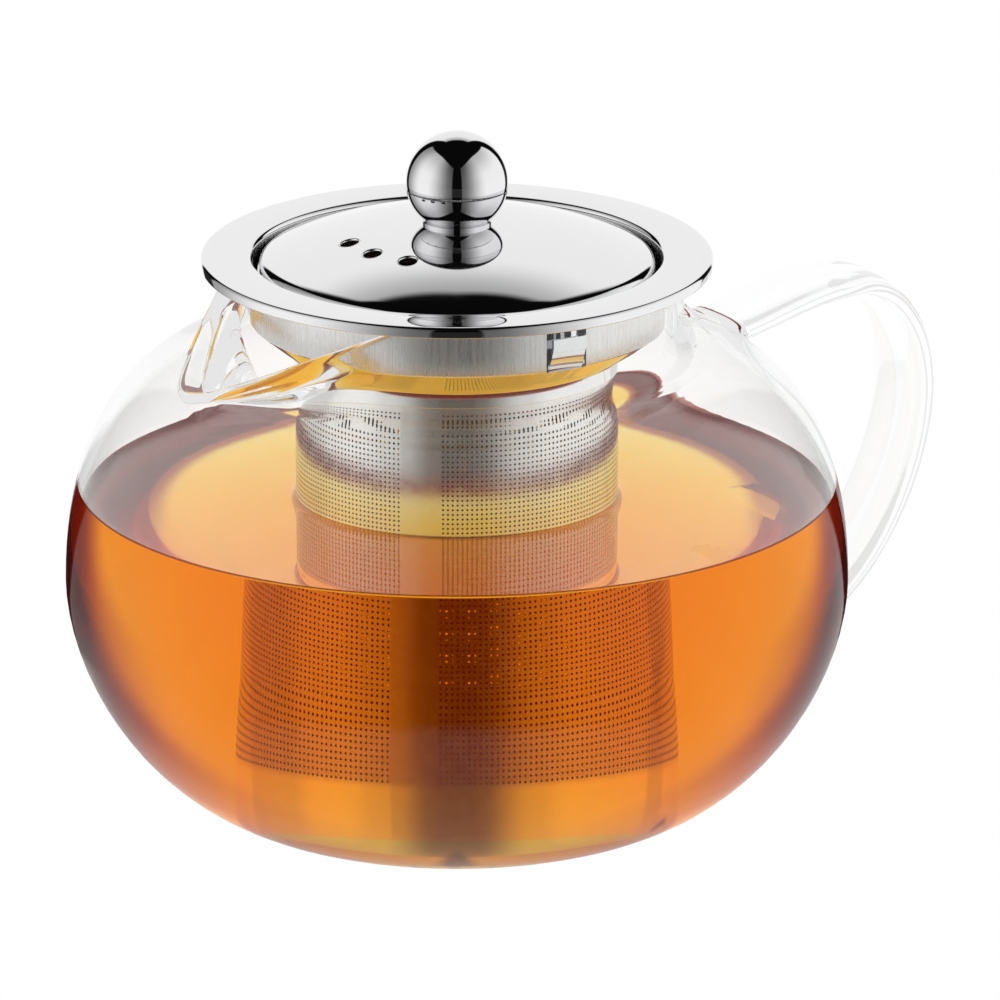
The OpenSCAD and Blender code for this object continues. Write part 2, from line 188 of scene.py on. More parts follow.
def make_surround():
    world = bpy.data.worlds.new("studio")
    world.use_nodes = True
    tree = world.node_tree
    tree.nodes.clear()
    direction = node(tree, "ShaderNodeTexCoord").outputs["Generated"]
    side = along_axis(tree, direction, to_right)
    forward = along_axis(tree, direction, to_camera)
    azimuth = azimuth_of(tree, side, forward)
    rise = math_node(tree, "ARCSINE", along_axis(tree, direction, Vector((0, 0, 1))))
    height = math_node(tree, "DEGREES", rise)
    # The panels' upper edges are highest at the pot's sides, and bend down from there
    panel_top = 61.0
    panel_middle = 68.0
    panel_bend = 0.00446
    from_middle = math_node(tree, "SUBTRACT", azimuth, panel_middle)
    sag = math_node(tree, "MULTIPLY", math_node(tree, "MULTIPLY", from_middle, from_middle), panel_bend)
    below_edge = math_node(tree, "SUBTRACT", math_node(tree, "SUBTRACT", panel_top, sag), height)
    panels = math_node(tree, "MULTIPLY", panel_light(tree, azimuth, side),
                       ramp_between(tree, below_edge, 0.0, 2.0))
    panels = math_node(tree, "MULTIPLY", panels, ramp_between(tree, height, 12.0, 62.0, 1.0, 0.5))
    # The white wall behind ends at 55 to 58 degrees of height, where it is dimmer
    wall_top = math_node(tree, "MULTIPLY_ADD", azimuth, 0.1, i2=40.0)
    below_top = math_node(tree, "SUBTRACT", wall_top, height)
    wall = math_node(tree, "MULTIPLY", wall_light(tree, azimuth), ramp_between(tree, below_top, 0.0, 3.0))
    wall = math_node(tree, "MULTIPLY", wall, ramp_between(tree, height, 38.0, 57.0, 1.0, 0.45))
    lit = math_node(tree, "ADD", math_node(tree, "MAXIMUM", panels, wall), 0.003)
    lit = math_node(tree, "MAXIMUM", lit, stray_light(tree, azimuth))
    # Light bent far aside comes from the dim front of the room
    straight = ramp_between(tree, forward, -0.76, -0.45, 1.0, 0.35)
    strength = value_between(tree, seen_straight(tree), lit, straight)
    background = node(tree, "ShaderNodeBackground", Color=(1, 1, 1, 1), Strength=strength)
    node(tree, "ShaderNodeOutputWorld", Surface=background.outputs[0])
    bpy.context.scene.world = world


def make_floor():
    """A white table that glows and shows no shadow. For steel and glass it glows in the pattern of the room's
    light, dark at the front, with a painted pool of light beside the pot.
    """
    bpy.ops.object.select_all(action="DESELECT")
    bpy.ops.mesh.primitive_plane_add(size=14, location=(0, 0, -0.0003))
    floor = bpy.context.object
    floor.name = "floor"
    material, tree = empty_material("lit_table")
    place = node(tree, "ShaderNodeTexCoord").outputs["Object"]
    side = along_axis(tree, place, to_right)
    azimuth = azimuth_of(tree, side, along_axis(tree, place, to_camera))
    lit = math_node(tree, "MAXIMUM", panel_light(tree, azimuth, side), wall_light(tree, azimuth))
    lit = math_node(tree, "ADD", lit, 0.02)
    # Painted pool of light: the table beside the pot glows brighter, in place of light let through the pot
    distance = node(tree, "ShaderNodeVectorMath", set_operation="LENGTH", i0=place).outputs["Value"]
    lit = math_node(tree, "MAXIMUM", lit, ramp_between(tree, distance, 140 * mm, 110 * mm, 0.0, 0.95))
    lit = math_node(tree, "MAXIMUM", lit, stray_light(tree, azimuth))
    strength = value_between(tree, seen_straight(tree), lit, 1.0)
    glow = node(tree, "ShaderNodeEmission", Color=(1, 1, 1, 1), Strength=strength)
    node(tree, "ShaderNodeOutputMaterial", Surface=glow.outputs[0])
    floor.data.materials.append(material)


make_surround()
make_floor()


# ---- Glass pot: blown body with a pulled lip, and a strap handle ----
# Clear borosilicate glass. The body is blown in a mould, its lip is pulled out while hot, and the
# flat strap is drawn on and fused at the neck and low on the bowl, so that all of it is one glass.
body_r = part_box("pot_body")[1].y / mm
rim_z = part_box("pot_body")[1].z / mm
widest_z = 48.2
foot_r = 36.0
neck_r = 45.1
shoulder_z = rim_z - 18.0
wall = 2.2
base = 3.4
bowl_power = 1.77
shoulder_power = 2.21
tip_r = 63.2
tip_z = 95.4
tip_round = 6.0
lip_fall = 1.05
fold_depth = 12.0
fold_lap = 0.8
shoulder_end = 79.6
fillet = 7.0
fillet_rise = 0.23
foot_drop = 1.0
bowl_steps = 20
bend_steps = 9
neck_steps = 8
tea_z = 66.5
tea_climb = 1.3
rim_mid_r = neck_r - wall / 2
rim_mid_z = rim_z - wall / 2
lip_angle = math.degrees(math.acos(rim_mid_r / (tip_r - wall / 2)))


def sin(degrees):
    return math.sin(math.radians(degrees))


def cos(degrees):
    return math.cos(math.radians(degrees))


def mix(a, b, k):
    return Vector(a) * (1 - k) + Vector(b) * k


def bowl_point(t, off, floor_z):
    """A point of the bowl, from the foot at 0 degrees to the widest point at 90."""
    return Vector((foot_r + (body_r - off - foot_r) * max(0, sin(t)) ** (2 / bowl_power),
                   widest_z - (widest_z - floor_z) * max(0, cos(t)) ** (2 / bowl_power)))


def shoulder_point(t, off):
    """A point of the shoulder, from the widest point at 0 degrees to the neck at 90."""
    return Vector((neck_r - off + (body_r - neck_r) * max(0, cos(t)) ** (2 / shoulder_power),
                   widest_z + (shoulder_z - off - widest_z) * max(0, sin(t)) ** (2 / shoulder_power)))


def bowl_angle(z):
    """The angle at which the outside of the bowl reaches a height."""
    return math.degrees(math.acos(((widest_z - z) / widest_z) ** (bowl_power / 2)))


def shoulder_stop(from_neck):
    """The angle at which the shoulder is this far out from the neck."""
    return math.degrees(math.acos((from_neck / (body_r - neck_r)) ** (shoulder_power / 2)))


def bend(start, corner, end, count):
    """Points of a curve that leaves start towards corner and reaches end."""
    return [mix(mix(start, corner, i / count), mix(corner, end, i / count), i / count)
            for i in range(1, count)]


def neck_corner(off):
    """Where the shoulder, carried on, meets the neck."""
    end = shoulder_point(shoulder_end, off)
    return Vector((neck_r - off, end.y + (end.x - neck_r + off) * fillet_rise))


def shoulder_angle(z, off):
    """The angle at which the shoulder reaches a height."""
    return math.degrees(math.asin(((z - widest_z) / (shoulder_z - off - widest_z)) ** (shoulder_power / 2)))


# The inner wall has a ring of points where the tea's edge touches it
contact_z = tea_z + tea_climb * 0.8
inner_angles = [shoulder_end * i / bowl_steps for i in range(bowl_steps + 1)]
inner_angles = sorted(inner_angles + [shoulder_angle(contact_z, wall)], reverse=True)


def wall_profile(azimuth):
    """The glass wall at one azimuth from the spout, as (distance, height) from outside to inside."""
    left = max(0, lip_angle + tip_round - math.hypot(azimuth, tip_round))
    lip = math.tan(math.radians(left)) / math.tan(math.radians(lip_angle))
    top = Vector((rim_mid_r / cos(left), rim_mid_z - (rim_mid_z - tip_z) * lip ** lip_fall))
    plain_end = shoulder_point(shoulder_end, 0)
    stop = shoulder_stop((plain_end.x - neck_r) * (1 - lip ** 2) + fold_depth * lip ** 2)
    outer_end = shoulder_point(stop, 0)
    fold = shoulder_point(shoulder_stop(fold_depth + fold_lap), 0) + Vector((0, fold_lap))
    outer_foot = mix((neck_r, shoulder_z + fillet), fold, lip ** 2)
    outer_corner = mix(neck_corner(0), outer_end, lip ** 2)
    inner_foot = mix((neck_r - wall, shoulder_z + fillet),
                     (neck_r - wall, shoulder_z - wall - foot_drop), lip ** 2)
    inner_corner = mix(neck_corner(wall), inner_foot - Vector((0, foot_drop)), lip ** 2)
    along = (top - mix(outer_foot, inner_foot, 0.5)).normalized()
    across = Vector((along.y, -along.x))
    outside = top + across * wall / 2
    inside = top - across * wall / 2
    points = [bowl_point(90 * i / bowl_steps, 0, 0) for i in range(bowl_steps)]
    points += [shoulder_point(stop * i / 22, 0) for i in range(23)]
    points += bend(outer_end, outer_corner, outer_foot, bend_steps)
    points += [mix(outer_foot, outside, i / neck_steps) for i in range(neck_steps + 1)]
    points += [top + (across * cos(b) + along * sin(b)) * wall / 2 for b in range(20, 180, 20)]
    points += [mix(inside, inner_foot, i / neck_steps) for i in range(neck_steps + 1)]
    points += bend(inner_foot, inner_corner, shoulder_point(shoulder_end, wall), bend_steps)
    points += [shoulder_point(angle, wall) for angle in inner_angles]
    points += [bowl_point(90 * i / bowl_steps, wall, base) for i in reversed(range(bowl_steps))]
    return points


def pick_only(piece):
    """Makes a piece the only one that is selected, and the active one."""
    bpy.ops.object.select_all(action="DESELECT")
    piece.select_set(True)
    bpy.context.view_layer.objects.active = piece


def mesh_object(name, vertices, edges, faces):
    mesh = bpy.data.meshes.new(name)
    mesh.from_pydata(vertices, edges, faces)
    piece = bpy.data.objects.new(name, mesh)
    bpy.context.collection.objects.link(piece)
    pick_only(piece)
    return piece


def make_body():
    """The wall's profile, carried round the axis; the steps crowd together towards the spout."""
    steps = 192
    crowding = 25
    vertices, faces = [], []
    for k in range(steps):
        turn = 360 * k / steps - 180
        azimuth = turn - crowding * sin(turn)
        profile = wall_profile(azimuth)
        vertices += [(-p.x * cos(azimuth) * mm, -p.x * sin(azimuth) * mm, p.y * mm) for p in profile]
    rings = len(profile)
    for k in range(steps):
        here, after = k * rings, (k + 1) % steps * rings
        faces += [(here + i, after + i, after + i + 1, here + i + 1) for i in range(rings - 1)]
    faces.append([k * rings for k in range(steps - 1, -1, -1)])
    faces.append([k * rings + rings - 1 for k in range(steps)])
    return mesh_object("pot_glass", vertices, [], faces)


strap_w = 19.6
strap_t = 4.8
strap_end_t = 3.4
strap_roundness = 0.75
elbow = Vector((105.1, 74))
crown = Vector((elbow.x - 16, 96.7))
saddle = Vector((neck_r + 17.4, shoulder_z - 5))
neck_joint = Vector((neck_r - 0.8, shoulder_z + 7.5))
end_z = 25.0
bowl_joint = Vector((bowl_point(bowl_angle(end_z), 0, 0).x - 1.3, end_z))
strap_curves = [
    (neck_joint, neck_joint + Vector((5, -9)), saddle + Vector((-7, -1.6)), saddle),
    (saddle, saddle + Vector((8.5, 2)), crown + Vector((-10, 0)), crown),
    (crown, crown + Vector((9.5, 0)), elbow + Vector((0, 12)), elbow),
    (elbow, elbow - Vector((0, 18)), bowl_joint + Vector((22, 5)), bowl_joint)]


def strap_size(curve, t):
    """Width and thickness: slim in the neck, a thick pad on the shoulder, then even."""
    if curve == 0:
        pad = (sin(180 * t) + t) / 2
        return (0.66 + 0.34 * sin(90 * t)) * strap_w, wall + (strap_t * 1.25 - wall) * pad
    if curve == 1:
        return strap_w, strap_t * (0.94 + 0.06 * t)
    if curve == 3:
        return strap_w * (1 + 0.08 * t * t), strap_t + (strap_end_t - strap_t) * t ** 3
    return strap_w, strap_t


def make_strap():
    """Rounded sections along the four curves, closed at both ends inside the body's glass."""
    sides, steps = 40, 26
    vertices, faces = [], []
    for number, (a, b, c, d) in enumerate(strap_curves):
        for i in range(0 if number == 0 else 1, steps + 1):
            t = i / steps
            middle = a * (1 - t) ** 3 + 3 * b * t * (1 - t) ** 2 + 3 * c * t * t * (1 - t) + d * t ** 3
            along = ((b - a) * (1 - t) ** 2 + (c - b) * 2 * t * (1 - t) + (d - c) * t * t).normalized()
            width, thick = strap_size(number, t)
            for j in range(sides):
                angle = 360 * j / sides
                side = math.copysign(abs(cos(angle)) ** strap_roundness, cos(angle)) * width / 2
                up = math.copysign(abs(sin(angle)) ** strap_roundness, sin(angle)) * thick / 2
                vertices.append(((middle.x - along.y * up) * mm, side * mm, (middle.y + along.x * up) * mm))
    rings = len(vertices) // sides
    for s in range(rings - 1):
        here, after = s * sides, (s + 1) * sides
        for j in range(sides):
            n = (j + 1) % sides
            faces.append((here + j, after + j, after + n, here + n))
    faces.append(list(range(sides)))
    faces.append([(rings - 1) * sides + j for j in range(sides - 1, -1, -1)])
    return mesh_object("strap", vertices, [], faces)


def face_outwards(piece):
    pick_only(piece)
    bpy.ops.object.mode_set(mode="EDIT")
    bpy.ops.mesh.select_all(action="SELECT")
    bpy.ops.mesh.remove_doubles(threshold=0.000001)
    bpy.ops.mesh.normals_make_consistent(inside=False)
    bpy.ops.object.mode_set(mode="OBJECT")


def combine(piece, other, operation):
    """Joins or cuts piece with other, and deletes other."""
    pick_only(piece)
    modifier = piece.modifiers.new("combine", "BOOLEAN")
    modifier.operation = operation
    modifier.solver = "EXACT"
    modifier.object = other
    bpy.ops.object.modifier_apply(modifier="combine")
    bpy.data.objects.remove(other)


def smooth(piece, angle):
    pick_only(piece)
    bpy.ops.object.shade_smooth_by_angle(angle=math.radians(angle))


glass_ior = 1.47
tea_ior = 1.33
glass_tint = (0.99, 0.997, 0.993, 1)


def clear_glass(name, ior, sheen):
    """Clear glass with the faint waves of a blown wall; sheen sets how much of its shine shows."""
    material, tree = empty_material(name)
    place = node(tree, "ShaderNodeTexCoord").outputs["Object"]
    waves = node(tree, "ShaderNodeTexNoise", Vector=place, Scale=28.0, Detail=1.0, Roughness=0.4)
    bump = node(tree, "ShaderNodeBump", Strength=0.05, Distance=0.0006, Height=waves.outputs["Fac"])
    glass = node(tree, "ShaderNodeBsdfPrincipled", Base_Color=glass_tint, Roughness=0.0, IOR=ior,
                 Transmission_Weight=1.0, Normal=bump.outputs[0])
    passed = node(tree, "ShaderNodeBsdfRefraction", Color=glass_tint, Roughness=0.0, IOR=ior,
                  Normal=bump.outputs[0])
    entering = math_node(tree, "SUBTRACT", 1.0, node(tree, "ShaderNodeNewGeometry").outputs["Backfacing"])
    dull = math_node(tree, "MULTIPLY", entering, 1.0 - sheen)
    body = node(tree, "ShaderNodeMixShader", i0=dull, i1=glass.outputs[0], i2=passed.outputs[0])
    clear = node(tree, "ShaderNodeBsdfTransparent", Color=(0.97, 0.98, 0.98, 1))
    path = node(tree, "ShaderNodeLightPath")
    # Painted glow: where paths run deep in the thick lip and the fused joints, an emission paints them white,
    # in place of the light that the glass keeps catching there
    painted_glow_mask = math_node(tree, "MAXIMUM", math_node(tree, "GREATER_THAN", path.outputs["Glossy Depth"], 2.5),
                       math_node(tree, "GREATER_THAN", path.outputs["Ray Depth"], 9.5))
    painted_white_glow = node(tree, "ShaderNodeEmission", Color=(1, 1, 1, 1), Strength=0.8)
    body = node(tree, "ShaderNodeMixShader", i0=painted_glow_mask, i1=body.outputs[0], i2=painted_white_glow.outputs[0])
    both = node(tree, "ShaderNodeMixShader", i0=path.outputs["Is Shadow Ray"], i1=body.outputs[0],
                i2=clear.outputs[0])
    node(tree, "ShaderNodeOutputMaterial", Surface=both.outputs[0])
    return material


def is_wet(face):
    """Whether a face of the inner wall lies below the tea's edge."""
    r, z = math.hypot(face.center.x, face.center.y) / mm, face.center.z / mm
    if not base - 0.1 < z < contact_z:
        return False
    outer = bowl_point(bowl_angle(z), 0, 0) if z < widest_z else shoulder_point(shoulder_angle(z, 0), 0)
    bowl_middle = Vector((0, 0, 45 * mm))
    return r < outer.x - 1.5 and face.normal.dot(bowl_middle - face.center) > 0


def make_glass_pot():
    pot = make_body()
    face_outwards(pot)
    strap = make_strap()
    face_outwards(strap)
    combine(pot, strap, "UNION")
    # The fused joints are softened as fire-polished glass is
    bpy.ops.object.mode_set(mode="EDIT")
    bpy.ops.mesh.select_all(action="DESELECT")
    bpy.ops.mesh.select_mode(type="EDGE")
    bpy.ops.mesh.edges_select_sharp(sharpness=math.radians(28))
    bpy.ops.mesh.select_mode(type="VERT")
    bpy.ops.mesh.select_more()
    bpy.ops.mesh.vertices_smooth(factor=0.5, repeat=3)
    bpy.ops.object.mode_set(mode="OBJECT")
    smooth(pot, 50)
    pot.data.materials.clear()
    pot.data.materials.append(clear_glass("clear_glass", glass_ior, 0.5))
    pot.data.materials.append(clear_glass("glass_under_tea", glass_ior / tea_ior, 1.0))
    for face in pot.data.polygons:
        face.material_index = 1 if is_wet(face) else 0
    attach(pot, "pot")
    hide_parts("pot_body", "pot_handle")


make_glass_pot()


# ---- Tea ----
# Black tea fills the lower two thirds of the bowl, inside and outside the filter, and climbs a
# little where it meets the glass and the steel.
def tea_liquid():
    """Amber tea: it takes out blue within a few centimetres and green over the width of the pot, and a
    painted red glow in its volume stands in for the red light it spreads."""
    material, tree = empty_material("tea")
    # The glass under the tea bends the light, so the tea itself does so only at its free surface
    surface = node(tree, "ShaderNodeBsdfPrincipled", Base_Color=(1, 1, 1, 1), Roughness=0.0, IOR=tea_ior,
                   Transmission_Weight=1.0)
    place = node(tree, "ShaderNodeSeparateXYZ", Vector=node(tree, "ShaderNodeTexCoord").outputs["Object"])
    height = place.outputs["Z"]
    # Painted shade: where the view grazes the bowl's wall, a dark red tint on the tea's boundary stands in
    # for the long way that light takes through the tea there
    grazing = node(tree, "ShaderNodeLayerWeight", Blend=0.5).outputs["Facing"]
    edge = math_node(tree, "MULTIPLY", ramp_between(tree, grazing, 0.222, 0.268),
                     ramp_between(tree, height, 14.0 * mm, 34.0 * mm))
    painted_edge_shade = colour_between(tree, edge, (1, 1, 1, 1), (0.45, 0.15, 0.12, 1))
    clear = node(tree, "ShaderNodeBsdfTransparent", Color=painted_edge_shade)
    normal = node(tree, "ShaderNodeNewGeometry").outputs["True Normal"]
    upright = math_node(tree, "ABSOLUTE", node(tree, "ShaderNodeSeparateXYZ", Vector=normal).outputs["Z"])
    high = math_node(tree, "GREATER_THAN", height, (tea_z - 1.0) * mm)
    free = math_node(tree, "MULTIPLY", high, math_node(tree, "GREATER_THAN", upright, 0.45))
    shadow = node(tree, "ShaderNodeLightPath").outputs["Is Shadow Ray"]
    bends = math_node(tree, "MULTIPLY", free, math_node(tree, "SUBTRACT", 1.0, shadow))
    both = node(tree, "ShaderNodeMixShader", i0=bends, i1=clear.outputs[0], i2=surface.outputs[0])
    taken = node(tree, "ShaderNodeVolumeAbsorption", Color=(0.968, 0.80, 0.02, 1), Density=60.0)
    # Painted glow: an emission in the tea stands in for red light that the tea scatters
    painted_red_glow = node(tree, "ShaderNodeEmission", Color=(1, 0.05, 0.0, 1), Strength=0.9)
    depth = node(tree, "ShaderNodeAddShader", i0=taken.outputs[0], i1=painted_red_glow.outputs[0])
    node(tree, "ShaderNodeOutputMaterial", Surface=both.outputs[0], Volume=depth.outputs[0])
    return material


def turned(name, outline, steps):
    """A piece turned on a lathe: the outline, as (distance, height) pairs, is spun round the axis."""
    points = [(r * mm, 0, z * mm) for r, z in outline]
    edges = [(i, i + 1) for i in range(len(points) - 1)]
    if outline[0][0] > 0 and outline[-1][0] > 0:
        edges.append((len(points) - 1, 0))
    piece = mesh_object(name, points, edges, [])
    bpy.ops.object.mode_set(mode="EDIT")
    bpy.ops.mesh.select_all(action="SELECT")
    bpy.ops.mesh.spin(steps=steps, angle=2 * math.pi, center=(0, 0, 0), axis=(0, 0, 1))
    bpy.ops.mesh.select_all(action="SELECT")
    bpy.ops.mesh.remove_doubles(threshold=0.000001)
    bpy.ops.mesh.normals_make_consistent(inside=False)
    bpy.ops.object.mode_set(mode="OBJECT")
    return piece


into_glass = 0.15
into_sheet = 0.5
tube_climb = 0.7
tube_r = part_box("filter_sheet")[1].y / mm


def make_tea():
    """The tea's edge climbs the glass and both sides of the filter in the same soft curve."""
    inside = [bowl_point(90 * i / 24, wall - into_glass, base - into_glass) for i in range(25)]
    top_angle = shoulder_angle(tea_z + tea_climb, wall - into_glass)
    inside += [shoulder_point(top_angle * i / 12, wall - into_glass) for i in range(1, 13)]
    glass_r = inside[-1].x

    def surface_z(climb, reach, distance):
        return tea_z + climb * math.exp(-distance / reach)

    outline = [(0, base - into_glass)] + [tuple(p) for p in inside]
    for d in (0.2, 0.5, 0.9, 1.4, 2.0, 3.0, 4.5):
        outline.append((glass_r - d, surface_z(tea_climb, 0.8, d)))
    for d in (4.0, 2.6, 1.6, 1.0, 0.6, 0.3, 0.0):
        outline.append((tube_r + d, surface_z(tube_climb, 0.7, d)))
    for d in (0.0, 0.3, 0.6, 1.0, 1.6, 2.6):
        outline.append((tube_r - into_sheet - d, surface_z(tube_climb, 0.7, d)))
    outline += [(0, tea_z)]
    tea = turned("tea", outline, 160)
    smooth(tea, 60)
    tea.data.materials.append(tea_liquid())
    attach(tea, "pot")


make_tea()


# ---- Infuser funnel ----
# Drawn from one sheet of stainless steel: a flat flange with its edge turned down, a straight
# collar with a brushed finish, a cone, and a ring that holds the filter. Three tongues cut out of
# the collar spring against the neck.
flange_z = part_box("infuser_collar")[1].z / mm
flange_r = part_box("infuser_collar")[1].y / mm
sheet = 0.6
collar_r = 41.3
collar_end = flange_z - sheet - 12.2
cone_h = 7.1
ring_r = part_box("filter_base")[1].y / mm
ring_z = collar_end - cone_h
cone_rise = cone_h / (collar_r - ring_r)
ring_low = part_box("infuser_collar")[0].z / mm
edge_drop = 2.2
edge_r = 0.9
mouth_r = 1.1
tongue_count = 3
tongue_turn = 30
tongue_w = 7.4
tongue_rise = 4.9
tongue_end_h = 1.8
slit = 0.75
glass_gap = 0.4


def arc(r, z, radius, start, end, count=6):
    """Points of an arc about (r, z), in degrees from the outward direction."""
    angles = [start + (end - start) * i / count for i in range(count + 1)]
    return [(r + radius * cos(angle), z + radius * sin(angle)) for angle in angles]


def polished_steel():
    """Mirror-polished stainless steel, with very faint polishing haze."""
    material, tree = empty_material("polished_steel")
    place = node(tree, "ShaderNodeTexCoord").outputs["Object"]
    haze = node(tree, "ShaderNodeTexNoise", Vector=place, Scale=60.0, Detail=4.0, Roughness=0.6)
    rough = ramp_between(tree, haze.outputs["Fac"], 0.35, 0.75, 0.035, 0.07)
    steel = node(tree, "ShaderNodeBsdfPrincipled", Base_Color=(0.80, 0.80, 0.81, 1), Metallic=1.0,
                 Roughness=rough)
    node(tree, "ShaderNodeOutputMaterial", Surface=steel.outputs[0])
    return material


def brushed_steel():
    """Stainless steel with a fine upright grain."""
    material, tree = empty_material("brushed_steel")
    place = node(tree, "ShaderNodeTexCoord").outputs["Object"]
    stretched = node(tree, "ShaderNodeMapping", Vector=place, Scale=(1, 1, 0.03))
    grain = node(tree, "ShaderNodeTexNoise", Vector=stretched.outputs[0], Scale=1600.0, Detail=3.0,
                 Roughness=0.7)
    rough = ramp_between(tree, grain.outputs["Fac"], 0.3, 0.7, 0.2, 0.36)
    bump = node(tree, "ShaderNodeBump", Strength=0.25, Distance=0.00004, Height=grain.outputs["Fac"])
    steel = node(tree, "ShaderNodeBsdfPrincipled", Base_Color=(0.74, 0.73, 0.72, 1), Metallic=1.0,
                 Roughness=rough, Normal=bump.outputs[0])
    node(tree, "ShaderNodeOutputMaterial", Surface=steel.outputs[0])
    return material


polished = polished_steel()
brushed = brushed_steel()


def prism(name, outline, width):
    """An outline in the plane of the axis, given thickness along Y."""
    points = [(r * mm, -width / 2 * mm, z * mm) for r, z in outline]
    piece = mesh_object(name, points, [], [list(range(len(points)))])
    bpy.ops.object.mode_set(mode="EDIT")
    bpy.ops.mesh.select_all(action="SELECT")
    bpy.ops.mesh.extrude_region_move(TRANSFORM_OT_translate={"value": (0, width * mm, 0)})
    bpy.ops.mesh.select_all(action="SELECT")
    bpy.ops.mesh.normals_make_consistent(inside=False)
    bpy.ops.object.mode_set(mode="OBJECT")
    return piece


def turn_about_axis(piece, degrees):
    pick_only(piece)
    piece.rotation_euler.z = math.radians(degrees)
    bpy.ops.object.transform_apply(location=False, rotation=True, scale=False)


def make_funnel():
    """The section runs over the flange to its edge, back below it, down outside and up inside."""
    inner_r = collar_r - sheet
    corner = sheet * math.tan((math.pi / 2 - math.atan(cone_rise)) / 2)
    outline = arc(inner_r + mouth_r, flange_z - mouth_r, mouth_r, 180, 90)
    outline += arc(flange_r - edge_r, flange_z - edge_r, edge_r, 90, 0)
    outline += arc(flange_r - sheet / 2, flange_z - edge_drop + sheet / 2, sheet / 2, 0, -180)
    outline += arc(flange_r - edge_r, flange_z - edge_r, edge_r - sheet, 0, 90, 3)
    outline += arc(inner_r + mouth_r, flange_z - mouth_r, mouth_r - sheet, 90, 180, 4)
    outline += [(collar_r, collar_end + 0.25), (collar_r - 0.08, collar_end - 0.05)]
    outline += [(collar_r - 0.3, collar_end - 0.3)]
    outline += [(ring_r + 0.25, ring_z + 0.25), (ring_r + 0.06, ring_z), (ring_r, ring_z - 0.2)]
    outline += [(ring_r, ring_low + 0.15), (ring_r - 0.15, ring_low), (ring_r - sheet, ring_low)]
    outline += [(ring_r - sheet, ring_z + corner), (inner_r, collar_end + corner)]
    funnel = turned("infuser_funnel", outline, 192)
    # Each tongue leaves the cone just outside the lid's skirt and stops short of the glass
    root_inset = 0.7
    root = Vector((inner_r - root_inset, collar_end + corner - root_inset * cone_rise))
    foot = root - Vector((0.12, 0.38))
    tip = Vector((neck_r - wall - glass_gap - sheet, collar_end + tongue_rise))
    tip_top = tip.y + tongue_end_h
    low, high = root.y - 0.08, flange_z - sheet - 1.2
    near, far = ring_r + 1, neck_r + 1
    for number in range(tongue_count):
        angle = tongue_turn + 360 / tongue_count * number
        window = prism("window", [(near, low), (far, low), (far, high), (near, high)], tongue_w + 2 * slit)
        turn_about_axis(window, angle)
        combine(funnel, window, "DIFFERENCE")
        tongue = prism("tongue", [foot, (foot.x + sheet, foot.y), (tip.x + sheet, tip.y),
                                  (tip.x + sheet, tip_top), (tip.x, tip_top), tip], tongue_w)
        turn_about_axis(tongue, angle)
        combine(funnel, tongue, "UNION")
    smooth(funnel, 35)
    funnel.data.materials.clear()
    funnel.data.materials.append(polished)
    funnel.data.materials.append(brushed)
    for face in funnel.data.polygons:
        r = math.hypot(face.center.x, face.center.y) / mm
        straight = collar_end < face.center.z / mm < flange_z - 1.5 and abs(face.normal.z) < 0.05
        face.material_index = 1 if straight and inner_r - 0.1 < r < collar_r + 0.1 else 0
    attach(funnel, "infuser")
    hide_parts("infuser_collar")


make_funnel()


# ---- Filter sheet ----
# Thin stainless sheet, etched right through with rows of fine round holes, rolled to a tube and
# spot-welded along a blank margin. It is made here in three lengths of the same sheet.
tube_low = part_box("filter_sheet")[0].z / mm
tube_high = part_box("filter_sheet")[1].z / mm
etched_t = 0.3
hole_r = 0.24
holes_low = 24.0
holes_high = ring_low - 1.7
seam_angle = 226
seam_w = 8.0
seam_strips = 4
lengths = 3
columns = 67
rows = 68


def etched_steel(name, dry, stained, margin):
    """Etched sheet, a little mottled, in the colours given; below the tea's surface it carries a brown film,
    which is thinner on the smooth blank margin at the bottom. The inside's copy takes dark colours as painted
    shade."""
    material, tree = empty_material(name)
    place = node(tree, "ShaderNodeTexCoord").outputs["Object"]
    mottle = node(tree, "ShaderNodeTexNoise", Vector=place, Scale=300.0, Detail=4.0, Roughness=0.6)
    rough = ramp_between(tree, mottle.outputs["Fac"], 0.3, 0.7, 0.13, 0.2)
    height = node(tree, "ShaderNodeSeparateXYZ", Vector=place).outputs["Z"]
    above = math_node(tree, "GREATER_THAN", height, (tea_z + 0.5) * mm)
    blank = ramp_between(tree, height, (holes_low + 1) * mm, (holes_low - 1) * mm)
    rough = math_node(tree, "SUBTRACT", rough, math_node(tree, "MULTIPLY", blank, 0.07))
    tone = colour_between(tree, blank, colour_between(tree, above, stained, dry), margin)
    steel = node(tree, "ShaderNodeBsdfPrincipled", Base_Color=tone, Metallic=1.0, Roughness=rough)
    node(tree, "ShaderNodeOutputMaterial", Surface=steel.outputs[0])
    return material


# Painted shade: the inside of the tube takes a dark copy of the etched steel, its brown film below the tea
# darkened as well
film_in_painted_shade = (0.16, 0.08, 0.04, 1)
etched = etched_steel("etched_steel", (0.80, 0.79, 0.78, 1), (0.66, 0.38, 0.10, 1), (0.95, 0.68, 0.28, 1))
etched_painted_shade = etched_steel("etched_steel_painted_shade", (0.16, 0.15, 0.14, 1), film_in_painted_shade, film_in_painted_shade)


